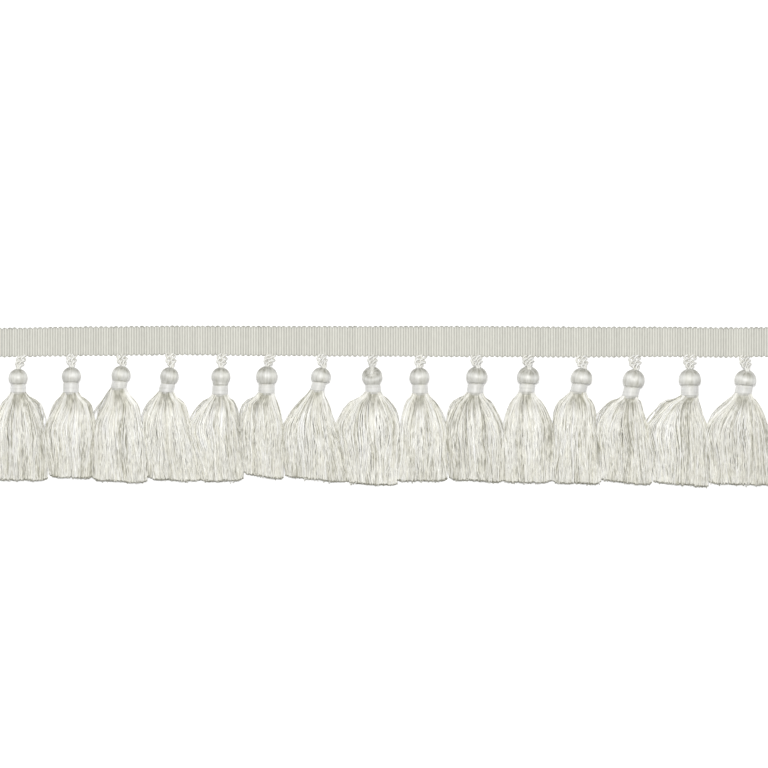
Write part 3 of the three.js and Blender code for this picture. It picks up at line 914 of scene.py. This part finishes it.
def skirt_shape(row, number, settings):
    """The loose threads of a skirt, and their shades.

    A thread keeps its place in a disc from the neck to the hem. The disc is stretched to the
    skirt's section at each step, squared off as a superellipse. To that are added the drift and
    wave of the lock that the thread belongs to, its own quicker waves, and its own length. Some
    threads cross over their neighbours, and a few hang out below the cut.
    """
    count, sides, steps = settings.threads, 3, 12
    radius = settings.thread_radius / MM
    draws = ThreadDraws(500 + number, count, settings.locks)
    per_lock, per_thread = draws.per_lock, draws.per_thread
    t = np.append(np.linspace(0, 0.99, steps - 1) ** 1.1, 1.0)[None, :] * np.ones((count, 1))
    levels = skirt_levels(row)
    left, right, low, high, square, y_left, y_right = level_curves(levels, t)
    loose = smooth((t - 0.03) / 0.45)

    def wave(rate, offset):
        """A sine of the way down the thread."""
        return np.sin(2 * math.pi * (t * rate + offset))

    crossing = np.where(per_thread(0, 1) < 0.25, per_thread(-0.4, 0.4), 0)
    angle = draws.angle + loose * (per_lock(-0.14, 0.14) + crossing * t)
    reach = draws.out * (1 + per_lock(-0.045, 0.045) * loose)
    cos, sin = np.cos(angle), np.sin(angle)
    squared = (np.abs(cos) ** square + np.abs(sin) ** square + 1e-9) ** (-1 / square)
    a, b = reach * squared * cos, reach * squared * sin

    # The threads spread halfway between evenly and out from the neck.
    even = (left + right) / 2 + a * (right - left) / 2
    from_neck = np.where(a < 0, -a * left, a * right)
    x = even + 0.5 * loose * (from_neck - even)
    z = (low + high) / 2 + b * ((high - low) / 2 - radius)
    share = np.clip((a + 1) / 2, 0, 1)
    y = y_left * (1 - share) + y_right * share

    x += loose * per_lock(0.3, 0.9) * wave(per_lock(0.5, 1.2), per_lock(0, 1))
    z += loose * per_lock(0.2, 0.5) * wave(per_lock(0.6, 1.5), per_lock(0, 1))
    x += loose * per_thread(0.08, 0.5) * wave(per_thread(1.2, 3.2), per_thread(0, 1))
    z += loose * per_thread(0.03, 0.25) * wave(per_thread(1.2, 3.2), per_thread(0, 1))
    cut = per_lock(-0.25, 0.25) + per_thread(-0.4, 0.3) + 0.4 * wander(0.7 * a, 510 + number)
    cut += 0.8 * smooth((np.abs(a) - 0.75) / 0.25) - 0.1
    cut -= np.where(per_thread(0, 1) < 0.03, per_thread(0.2, 1.0), 0)
    y += cut * smooth((t - 0.5) / 0.5)
    x += row["at"]
    z = np.maximum(z, 1.2 * radius + 0.01)
    paths = np.stack([x, y, z], -1)
    radii = radius * (1 + per_thread(-0.2, 0.2)) * (0.65 + 0.35 * smooth(t / 0.2))
    shades = thread_shades(draws, number, t, a, b)
    turn = math.pi / 6 + per_thread(-0.4, 0.4)

    stray_paths, stray_radii, stray_shades = stray_threads(row, number, levels)
    shape = merged([tubes(paths, radii, sides, turn), tubes(stray_paths, stray_radii, sides)])
    shades = [shades.ravel(), np.repeat(stray_shades, stray_paths.shape[1])]
    return shape, np.repeat(np.concatenate(shades), sides)


def stray_threads(row, number, levels):
    """Threads that bow out of the skirt's sides: its outline, plus a bow that is a power of a sine
    of the way down to the belly, with small waves. The looser the side, the more of them."""
    rng = np.random.default_rng(700 + number)
    steps, radius = 16, 0.17
    paths = []
    for side, bow in ((-1, row["bow_left"]), (1, row["bow_right"])):
        count, farthest = 2 + round(1.8 * bow), 1.4 * bow
        t = np.linspace(0.02, 1, steps)[None, :] * rng.uniform(0.6, 1, (count, 1))
        left, right, low, high, _, y_left, y_right = level_curves(levels, t)
        edge, y = (left, y_left) if side < 0 else (right, y_right)
        order = np.arange(count)[:, None]
        wide = 0.2 + farthest * (order + rng.uniform(0.3, 1, (count, 1))) / count
        widest = rng.uniform(0.16, 0.26, (count, 1))
        hump = np.sin(math.pi * np.clip(t / (2 * widest), 0, 1)) ** 1.6
        x = row["at"] + 0.96 * edge + side * wide * hump
        x += 0.15 * np.sin(2 * math.pi * (t * rng.uniform(2, 4, (count, 1)) + wide))
        z = low + (high - low) * rng.uniform(0.3, 0.7, (count, 1))
        paths.append(np.stack([x, y, np.maximum(z, 0.3)], -1))
    paths = np.concatenate(paths)
    radii = np.full(paths.shape[:2], radius)
    return paths, radii, rng.uniform(-0.2, 0.25, len(paths))


# Operators

# The camera is straight above VIEW_MIDDLE, in the trim's layout, and shows PIXEL millimetres to
# a pixel at SCALE_HEIGHT above the surface.
PHOTO_PIXELS = 768
PIXEL = 0.4885
VIEW_MIDDLE = (0.49, -13.3)
CAMERA_HEIGHT = 1.6
SCALE_HEIGHT = 0.004
SENSOR = 36.0

# The main light is nearly straight above, a little towards the tape's upper edge.
KEY_PLACE = (0.0, 0.17, 1.78)
KEY_SIZE = 0.4

# The table's reach to each side in metres, and how far it is under the trim in millimetres.
TABLE_REACH = 4
TABLE_GAP = 0.02


def make_for_tassels(settings, name, shape_of, material, slot, node):
    """Makes one piece for each tassel, such as Head_01, by the shape's function. Each stands for
    the tassel's own node of the solids."""
    for number, row in enumerate(TASSELS, 1):
        shape, shade = shape_of(row, number, settings)
        piece = new_mesh(f"{name}_{number:02d}", *shape, shade)
        finished(piece, material, slot, f"{node}_{number:02d}")


def add_area(context, name, place, target, size, power):
    """A square soft light at a place, turned to the target."""
    light = bpy.data.lights.new(name, "AREA")
    light.size = size
    light.energy = power
    lamp = bpy.data.objects.new(name, light)
    lamp.location = place
    lamp.rotation_euler = (target - Vector(place)).to_track_quat("-Z", "Y").to_euler()
    context.scene.collection.objects.link(lamp)


class TRIM_OT_stage(bpy.types.Operator):
    """Make the table, the lights and the camera straight above the trim."""

    bl_idname = "trim.stage"
    bl_label = "Table, lights and camera"

    def execute(self, context):
        settings = context.scene.trim_stage
        table, nodes, links, shader = material_of("Table_top")
        speckle = noise(nodes, links, (40, 40, 40))
        darker = [0.985 * part for part in settings.floor_colour]
        colour = ramp_between(nodes, links, speckle, darker, settings.floor_colour)
        links.new(colour, shader.inputs["Base Color"])
        shader.inputs["Roughness"].default_value = 0.7
        shader.inputs["Specular IOR Level"].default_value = 0.1
        corners = np.array([(-1, -1, 0), (1, -1, 0), (1, 1, 0), (-1, 1, 0)]) * TABLE_REACH / MM
        floor = new_mesh("Table", corners - (0, EDGE_Y, TABLE_GAP), [0, 1, 2, 3], [4])
        floor.data.materials.append(table)

        middle = Vector((VIEW_MIDDLE[0] * MM, (EDGE_Y + VIEW_MIDDLE[1]) * MM, 0.0))
        add_area(context, "Key", KEY_PLACE, middle, KEY_SIZE, settings.key)

        world = bpy.data.worlds.new("Soft_room")
        world.use_nodes = True
        background = world.node_tree.nodes["Background"]
        background.inputs["Color"].default_value = (1, 1, 1, 1)
        background.inputs["Strength"].default_value = settings.sky
        context.scene.world = world
        context.scene.view_settings.view_transform = "Standard"

        camera = bpy.data.objects.new("Camera", bpy.data.cameras.new("Camera"))
        context.scene.collection.objects.link(camera)
        across = PHOTO_PIXELS * PIXEL * MM
        camera.data.sensor_width = SENSOR
        camera.data.lens = SENSOR * (CAMERA_HEIGHT - SCALE_HEIGHT) / across
        camera.data.clip_end = 20.0
        camera.location = middle + Vector((0, 0, CAMERA_HEIGHT))
        context.scene.camera = camera
        return {"FINISHED"}


class TRIM_OT_tape(bpy.types.Operator):
    """Make the ribbed tape and the weft's loops along its edges."""

    bl_idname = "trim.tape"
    bl_label = "Tape"

    def execute(self, context):
        settings = context.scene.trim_tape
        grid, shade = tape_shape(settings)
        tape = new_mesh("Tape", *shell(grid), shade)
        finished(tape, tape_material(settings), "tape", "tape")
        shape, shade = edge_loops_shape(settings)
        loops = new_mesh("Tape_edge_loops", *shape, shade)
        yarn = yarn_material("Edge_yarn", settings.loop_shade_colour, settings.rib_colour, 0.5)
        finished(loops, yarn, "tape")
        return {"FINISHED"}


class TRIM_OT_hangers(bpy.types.Operator):
    """Make the twisted loops between the tape and the heads."""

    bl_idname = "trim.hangers"
    bl_label = "Hanging loops"

    def execute(self, context):
        settings = context.scene.trim_cord
        dark, light = settings.dark, settings.light
        yarn = yarn_material("Cord_yarn", dark, light, 0.42, (1500, 1500, 1500))
        make_for_tassels(settings, "Hanger", hanger_shape, yarn, "cord", "hanger")
        return {"FINISHED"}


class TRIM_OT_heads(bpy.types.Operator):
    """Make the yarn-covered heads with their necks."""

    bl_idname = "trim.heads"
    bl_label = "Heads"

    def execute(self, context):
        settings = context.scene.trim_tassel
        dark, light = settings.head_dark, settings.head_light
        yarn = yarn_material("Head_yarn", dark, light, 0.42, relief=0.0002)
        make_for_tassels(settings, "Head", head_shape, yarn, "yarn", "tassel")
        return {"FINISHED"}


class TRIM_OT_bindings(bpy.types.Operator):
    """Make the thread wound round the necks."""

    bl_idname = "trim.bindings"
    bl_label = "Bindings"

    def execute(self, context):
        settings = context.scene.trim_tassel
        dark, light = settings.binding_dark, settings.binding_light
        thread = yarn_material("Binding_thread", dark, light, 0.4)
        make_for_tassels(settings, "Binding", binding_shape, thread, "binding", "binding")
        return {"FINISHED"}


class TRIM_OT_skirts(bpy.types.Operator):
    """Make the skirts of loose threads."""

    bl_idname = "trim.skirts"
    bl_label = "Skirts"

    def execute(self, context):
        settings = context.scene.trim_tassel
        yarn = yarn_material("Skirt_yarn", settings.dark, settings.light, 0.3)
        make_for_tassels(settings, "Skirt", skirt_shape, yarn, "yarn", "tassel")
        return {"FINISHED"}


OPERATORS = (
    TRIM_OT_stage,
    TRIM_OT_tape,
    TRIM_OT_hangers,
    TRIM_OT_heads,
    TRIM_OT_bindings,
    TRIM_OT_skirts,
)

SETTINGS = {
    "trim_tape": TrimTapeSettings,
    "trim_cord": TrimCordSettings,
    "trim_tassel": TrimTasselSettings,
    "trim_stage": TrimStageSettings,
}


class TRIM_PT_panel(bpy.types.Panel):
    """The trim's pieces and their settings."""

    bl_idname = "TRIM_PT_panel"
    bl_label = "Tassel fringe trim"
    bl_space_type = "VIEW_3D"
    bl_region_type = "UI"
    bl_category = "Trim"

    def draw(self, context):
        for operator in OPERATORS:
            self.layout.operator(operator.bl_idname)
        for name, group in SETTINGS.items():
            box = self.layout.box()
            for prop in group.__annotations__:
                box.prop(getattr(context.scene, name), prop)


CLASSES = (*SETTINGS.values(), *OPERATORS, TRIM_PT_panel)


def register():
    """Adds the settings, the operators and the panel."""
    for group in CLASSES:
        bpy.utils.register_class(group)
    for name, group in SETTINGS.items():
        setattr(bpy.types.Scene, name, PointerProperty(type=group))


def unregister():
    """Takes them away again."""
    for name in SETTINGS:
        delattr(bpy.types.Scene, name)
    for group in reversed(CLASSES):
        bpy.utils.unregister_class(group)


def main():
    """Makes the stage and the trim."""
    register()
    bpy.ops.trim.stage()
    bpy.ops.trim.tape()
    bpy.ops.trim.hangers()
    bpy.ops.trim.heads()
    bpy.ops.trim.bindings()
    bpy.ops.trim.skirts()


if __name__ == "__main__":
    main()
